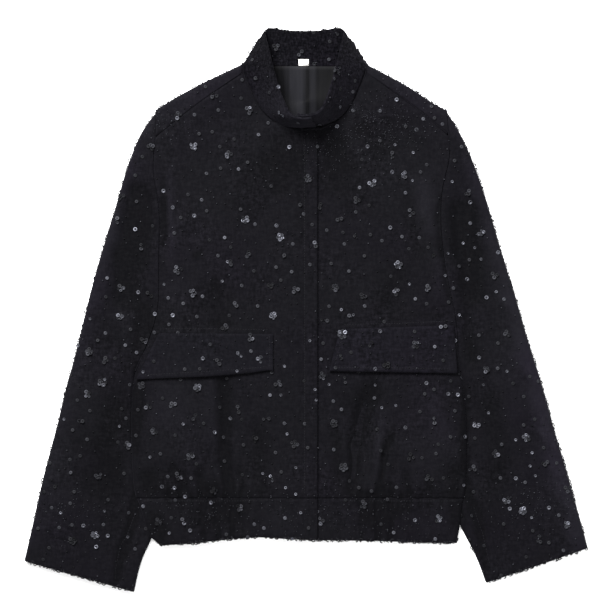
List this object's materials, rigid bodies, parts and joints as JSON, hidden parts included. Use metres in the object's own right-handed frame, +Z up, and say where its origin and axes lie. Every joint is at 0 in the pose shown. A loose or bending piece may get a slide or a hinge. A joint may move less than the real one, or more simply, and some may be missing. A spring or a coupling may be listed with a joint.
{
  "type": "aviator jacket",
  "caption": "Short boxy aviator jacket in black textured cloth with sequin flowers, stand collar, hidden placket and wide pocket flaps, laid flat.",
  "frame": {"origin": "centre of the jacket's outline in plan, on the surface that it lies on", "axes": "+X towards the wearer's left sleeve, +Y towards the collar, +Z up from the surface"},
  "size_m": [0.7219, 0.7205, 0.051],
  "materials": {
    "shell_cloth": "black textured jacquard cloth with a slight sheen",
    "lining_satin": "charcoal satin lining, smooth and lustrous",
    "label_tape": "white woven tape, blank",
    "sequin_black": "black cup sequins and beads with a gunmetal gleam"
  },
  "bodies": {
    "root": {"back": "shell_cloth", "front_right": "shell_cloth", "front_left": "shell_cloth", "hem_back": "shell_cloth", "hem_front_right": "shell_cloth", "hem_front_left": "shell_cloth", "sleeve_right": "shell_cloth", "sleeve_left": "shell_cloth", "collar": "shell_cloth", "flap_right": "shell_cloth", "flap_left": "shell_cloth", "back_lining": "lining_satin", "size_label": "label_tape"}
  },
  "joints": []
}
